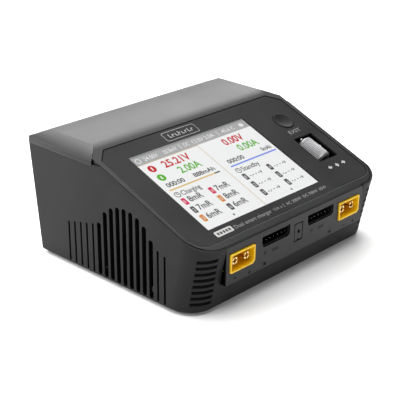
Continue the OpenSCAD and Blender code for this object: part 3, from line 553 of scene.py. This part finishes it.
# height of each colour's layer over the white ground, so that no two faces share a plane
LEVEL = {"white": 0.0, "bar": 0.012, "beige": 0.016, "soft": 0.012, "orange": 0.02, "blue": 0.02,
         "gray": 0.022, "red": 0.026, "green": 0.026, "pink": 0.026, "amber": 0.026, "dark": 0.028,
         "pale": 0.032}
COLORS = {"white": (1.0, 1.0, 1.0), "bar": (0.45, 0.45, 0.45), "beige": (0.75, 0.62, 0.42),
          "soft": (0.93, 0.94, 0.96), "orange": (0.82, 0.58, 0.2), "blue": (0.16, 0.26, 0.9),
          "gray": (0.075, 0.075, 0.075),
          "red": (0.62, 0.004, 0.015), "green": (0.11, 0.5, 0.015), "pink": (0.75, 0.0, 0.09),
          "amber": (0.74, 0.24, 0.0), "dark": (0.01, 0.01, 0.01), "pale": (0.95, 0.95, 0.95)}


def lv(color_name):
    """Height of a colour's layer, out of the slope."""
    return SCREEN_N + LEVEL[color_name]


def screen_rect(color, u0, u1, v0, v1, r=0.0):
    """Rectangle on the display, u and v in millimetres from its lower left corner."""
    rect(layer(color), su(u0), su(u1), sv(v0), sv(v1), lv(color), r)


def screen_disc(color, u, v, r, steps):
    disc(layer(color), su(u), sv(v), r, lv(color), steps)


def screen_ring(color, u, v, outer, inner):
    ring_outline(layer(color), circle(su(u), sv(v), outer, 24), circle(su(u), sv(v), inner, 24), lv(color))


def screen_words(color, text, u, v, height, width, bold=0.0, right=False):
    words(layer(color), text, su(u), sv(v), height, lv(color), width, bold, right)


screen_rect("white", 0, LCD_W, 0, LCD_H)
screen_rect("bar", 0, LCD_W, 43.9, LCD_H)
for v0, v1, u0, u1 in ((43.5, 43.9, 0, 37.3), (0, 0.35, 0, 37.3)):
    screen_rect("beige", u0, u1, v0, v1)
for u0, u1 in ((0, 0.35), (36.9, 37.3)):
    screen_rect("beige", u0, u1, 0, 43.9)
# status bar
BAR_V, BAR_TEXT_V, BAR_TEXT_H = 46.4, 45.3, 2.3  # its middle line, and the foot and height of its text
DIAL_U, GEAR_U = 3.1, 69.4  # centres of its two signs
screen_ring("pale", DIAL_U, BAR_V, 1.5, 1.15)
for label, u, w in (("24.00V", 6.5, 8.2), ("20.0mV", 18.2, 8.2), ("DC", 31, 3.2), ("12.0V 2.0A", 36.6, 14.0),
                    ("45.6 C", 56, 8.4)):
    screen_words("pale", label, u, BAR_TEXT_V, BAR_TEXT_H, w, 0.004)
for u in (28.6, 53):
    screen_rect("pale", u, u + 0.3, 44.9, 48)
for tooth_u, tooth_v in circle(GEAR_U, BAR_V, 1.05, 6):
    screen_disc("pale", tooth_u, tooth_v, 0.42, 10)
screen_disc("pale", GEAR_U, BAR_V, 0.85, 14)


def channel(u, volts, amps, vw, aw, charge, cells, bar_color, status, live):
    """One half of the readout, with its left edge at u."""
    screen_words("red", volts, u + 12.0, 38.0, 4.3, vw, 0.026)
    screen_words("green", amps, u + 16.3, 32.2, 4.2, aw, 0.022)
    screen_words("dark", "000:00", u + 3.7, 27.6, 2.6, 10.5, 0.02)
    screen_words("dark", charge, u + 32.9, 27.6, 2.5, 12.8 if live else 6.4, 0.02, right=True)
    end = 30.5 if live else 33.9
    screen_rect(bar_color, u + 2.7, u + end, 25.5, 26.3)
    if live:
        screen_rect("gray", u + end, u + 33.9, 25.5, 26.3)
        for kind, v in (("red", 40.0), ("green", 33.9)):
            screen_disc(kind, u + 5.5, v, 2.1, 24)
            screen_rect("pale", u + 5.1, u + 5.9, v - 1.0, v + 1.0, 0.2)
    # clock face
    face_u, face_v = u + 4.2, 22.5
    screen_ring("gray", face_u, face_v, 1.6, 1.2)
    screen_rect("gray", face_u - 0.18, face_u + 0.18, face_v - 0.1, face_v + 1.1)
    screen_rect("gray", face_u - 0.1, face_u + 0.9, face_v - 0.15, face_v + 0.2)
    screen_words("dark", status, u + 6.4, 21.2, 2.8, 11.3, 0.01)
    # the cells: a numbered tag and its value, in two columns of three
    height, bold = (3.4, 0.014) if live else (2.6, 0.01)
    for i, (value, kind) in enumerate(cells):
        tag_u, tag_v = u + (4.2, 20.8)[i // 3], (17.95, 12.35, 6.7)[i % 3]
        digit_w = 0.45 if i == 0 else 0.9
        screen_rect(kind, tag_u - 1.1, tag_u + 1.1, tag_v - 2.0, tag_v + 2.0, 0.45)
        screen_words("pale", str(i + 1), tag_u - 0.45, tag_v - 1.1, 2.1, digit_w)
        screen_words("dark", value, tag_u + 2.3, tag_v - 1.3, height, 8.2, bold)
    for k, du in enumerate((14.9, 18.5, 22.1)):
        disc(layer("gray" if k == 1 else "soft"), su(u + du), sv(2.4), 0.55, lv("gray"), 12)


channel(0.0, "25.21V", "2.00A", 16.2, 13.0, "888mAh",
        [("8mR", "pink"), ("7mR", "gray"), ("6mR", "amber"),
         ("7mR", "pink"), ("8mR", "amber"), ("6mR", "gray")],
        "orange", "Charging", True)
channel(38.4, "0.00V", "0.00A", 13.2, 13.0, "0mAh", [("-.- - -v", "gray")] * 6, "blue", "Standby", False)

for c_name, c_bm in layers.items():
    put("display_" + c_name, c_bm, lit("display_" + c_name, COLORS[c_name]), "case")

# ---------------------------------------------------------------- printed marks on the panel

print_m = plastic("print_white", (0.42, 0.42, 0.41), 0.5, bump=0.02, edge=0.0)
print_bm, print_dim, print_ink = bmesh.new(), bmesh.new(), bmesh.new()
MARK_N = PANEL_N + 0.004
# frame above the display, with plain strokes in it
ring_outline(print_bm, round_box(-20.9, -0.3, 61.9, 67.6, 1.0), round_box(-20.7, -0.5, 62.1, 67.4, 0.85),
             MARK_N)
STROKE_T = 63.6
for k in range(8):
    x, foot = -18.0 + 2.0 * k, STROKE_T + (k % 2) * 1.3
    rect(print_bm, x, x + 0.4, STROKE_T, STROKE_T + (2.4 if k in (0, 3, 6) else 1.7), MARK_N)
    rect(print_bm, x, x + 1.4, foot, foot + 0.35, MARK_N)
# plate and rating line below the display, and the words and arrows by the controls
plate = round_box(-45.7, -35.5, 6.0, 9.0, 0.6)
flat(print_bm, plate, MARK_N)
for k in range(5):
    rect(print_ink, -44.6 + 1.7 * k, -43.4 + 1.7 * k, 6.8, 8.2, MARK_N + 0.004, 0.2)
words(print_dim, "Dual smart charger", -34.3, 6.3, 2.0, MARK_N, 23.4)
words(print_dim, "15A x 2  AC 200W  DC 700W  65W", -9.3, 6.4, 1.6, MARK_N, 36.6)
words(print_dim, "EXIT", 41.6, 41.5, 2.3, MARK_N, 8.2, 0.01)
for cx, kind in ((40.9, -1), (46.0, 0), (51.0, 1)):
    if kind:
        head = [(cx + 1.3 * kind, 15.5), (cx - 0.2 * kind, 16.7), (cx - 0.2 * kind, 14.3)]
        flat(print_bm, head[::kind], MARK_N)
        rect(print_bm, *sorted((cx - 0.1 * kind, cx - 1.3 * kind)), 15.05, 15.95, MARK_N)
    else:
        flat(print_bm, [(cx - 1.3, 15.1), (cx + 1.3, 15.1), (cx, 16.7)], MARK_N)
        rect(print_bm, cx - 0.5, cx + 0.5, 14.3, 15.1, MARK_N)
put("panel_print", print_bm, print_m, "case")
gray_m = plastic("print_gray", (0.2, 0.2, 0.2), 0.5, bump=0.02, edge=0.0)
put("panel_print_dim", print_dim, gray_m, "case")
ink_m = plastic("print_ink", (0.02, 0.02, 0.02), 0.5, bump=0.02, edge=0.0)
put("panel_print_ink", print_ink, ink_m, "case")

# ---------------------------------------------------------------- marks under the ports: debossed signs, drawn as painted shade

port_bm = bmesh.new()
MARK_Y = -0.004  # just in front of the port block


def port_rect(x0, x1, z0, z1):
    """Flat mark of painted shade on the port block, facing forward, for a debossed sign."""
    corners = (x0, z0), (x1, z0), (x1, z1), (x0, z1)
    f = port_bm.faces.new([port_bm.verts.new(P(px, MARK_Y, pz)) for px, pz in corners])
    f.normal_update()
    if f.normal.y > 0:
        f.normal_flip()


# plus, minus, and the small signs beside the balance headers, debossed and drawn as painted shade
for cx, cz in ((-32.0, 12.95), (40.7, 12.95)):
    port_rect(cx - 0.9, cx + 0.9, cz - 0.17, cz + 0.17)
    port_rect(cx - 0.17, cx + 0.17, cz + 0.17, cz + 0.9)
    port_rect(cx - 0.17, cx + 0.17, cz - 0.9, cz - 0.17)
for cx, cz in ((-41.0, 13.6), (33.9, 12.95)):
    port_rect(cx - 0.9, cx + 0.9, cz - 0.17, cz + 0.17)
for cx, cz in ((-22.6, 18.3), (8.8, 18.3)):
    port_rect(cx - 0.15, cx + 0.15, cz - 0.9, cz + 0.9)
    port_rect(cx - 0.5, cx - 0.15, cz + 0.5, cz + 0.75)
    port_rect(cx + 0.9, cx + 1.2, cz - 0.9, cz + 0.9)
for cx, cz in ((-15.4, 18.0), (16.0, 18.0)):
    for k in range(5):
        port_rect(cx - 1.9 + 0.85 * k, cx - 1.55 + 0.85 * k, cz - 0.75 + 0.3 * (k % 2), cz + 0.75)
for cx, cz in ((-22.3, 13.4), (23.0, 13.3)):
    port_rect(cx - 1.0, cx - 0.7, cz - 0.9, cz + 0.9)
    port_rect(cx + 0.7, cx + 1.0, cz - 0.9, cz + 0.9)
    port_rect(cx - 0.35, cx + 0.35, cz - 0.6, cz + 0.6)
# flat near-black sheets that paint the shade in the recesses of the debossed signs
deboss_shade_m = plastic("debossed_mark_shade", (0.003, 0.003, 0.003), 0.8, bump=0.1, spec=0.0, edge=0.0)
put("port_marks", port_bm, deboss_shade_m, "case")

# ---------------------------------------------------------------- floor, light and camera

fm = bpy.data.meshes.new("floor")
fb = bmesh.new()
bmesh.ops.create_grid(fb, x_segments=2, y_segments=2, size=8.0)
fb.to_mesh(fm)
fb.free()
floor = bpy.data.objects.new("floor", fm)
scene.collection.objects.link(floor)
m, nt, b = nodes_of("floor")
cloud = noise(nt, 3.0)
pale = mix_rgb(nt, ramp(nt, cloud.outputs["Fac"], 0.3, 0.7, 0, 1), (0.86, 0.86, 0.86), (0.88, 0.88, 0.88))
nt.links.new(pale, b.inputs["Base Color"])
b.inputs["Roughness"].default_value = 0.6
b.inputs["Specular IOR Level"].default_value = 0.2
b.inputs["Emission Color"].default_value = (1, 1, 1, 1)
b.inputs["Emission Strength"].default_value = 0.08
floor.data.materials.append(m)

world = bpy.data.worlds.new("studio")
scene.world = world
world.use_nodes = True
sky = world.node_tree.nodes["Background"]
sky.inputs["Color"].default_value = (1, 1, 1, 1)
sky.inputs["Strength"].default_value = 0.13


def softbox(name, direction, distance, size, size_y, power):
    """Rectangular light that looks at the object from a direction."""
    ld = bpy.data.lights.new(name, "AREA")
    ld.energy = power
    ld.shape = "RECTANGLE"
    ld.size = size
    ld.size_y = size_y
    lo = bpy.data.objects.new(name, ld)
    scene.collection.objects.link(lo)
    d = Vector(direction).normalized()
    lo.location = Vector((0, 0, 0.03)) + d * distance
    lo.rotation_mode = "QUATERNION"
    lo.rotation_quaternion = (-d).to_track_quat("-Z", "Y")


# name, direction, distance, width and height in metres, power in watts
softbox("back_box", (0.55, 0.68, 0.48), 1.4, 1.3, 0.9, 15.5)
softbox("top_box", (-0.15, 0.05, 1.0), 1.3, 1.3, 1.3, 24)
softbox("left_box", (-0.75, 0.75, 0.36), 1.2, 1.2, 1.2, 18)
softbox("rear_top_box", (0.12, 0.66, 0.76), 1.3, 0.5, 0.5, 7)
softbox("front_box", (-0.75, -0.8, 0.42), 1.2, 0.5, 0.5, 0.9)

# camera solved from the straight edges in view: right, up and back axes, and place in the case frame
CAMERA_AT = (-341.46, -252.82, 216.94)
cam_data = bpy.data.cameras.new("camera")
cam = bpy.data.objects.new("camera", cam_data)
scene.collection.objects.link(cam)
cam_data.sensor_width = 36.0
cam_data.lens = 97.89
cam_data.shift_x = 0.0028
cam_data.clip_start, cam_data.clip_end = 0.01, 20
right = Vector((0.67898, -0.73392, 0.01872))
up = Vector((0.27914, 0.28166, 0.91801))
back = Vector((-0.67902, -0.61809, 0.39611))
turn = Matrix((right, up, back)).transposed().to_4x4()
cam.matrix_world = Matrix.Translation(P(*CAMERA_AT)) @ turn
scene.camera = cam
scene.view_settings.view_transform = "Standard"

bpy.context.view_layer.update()
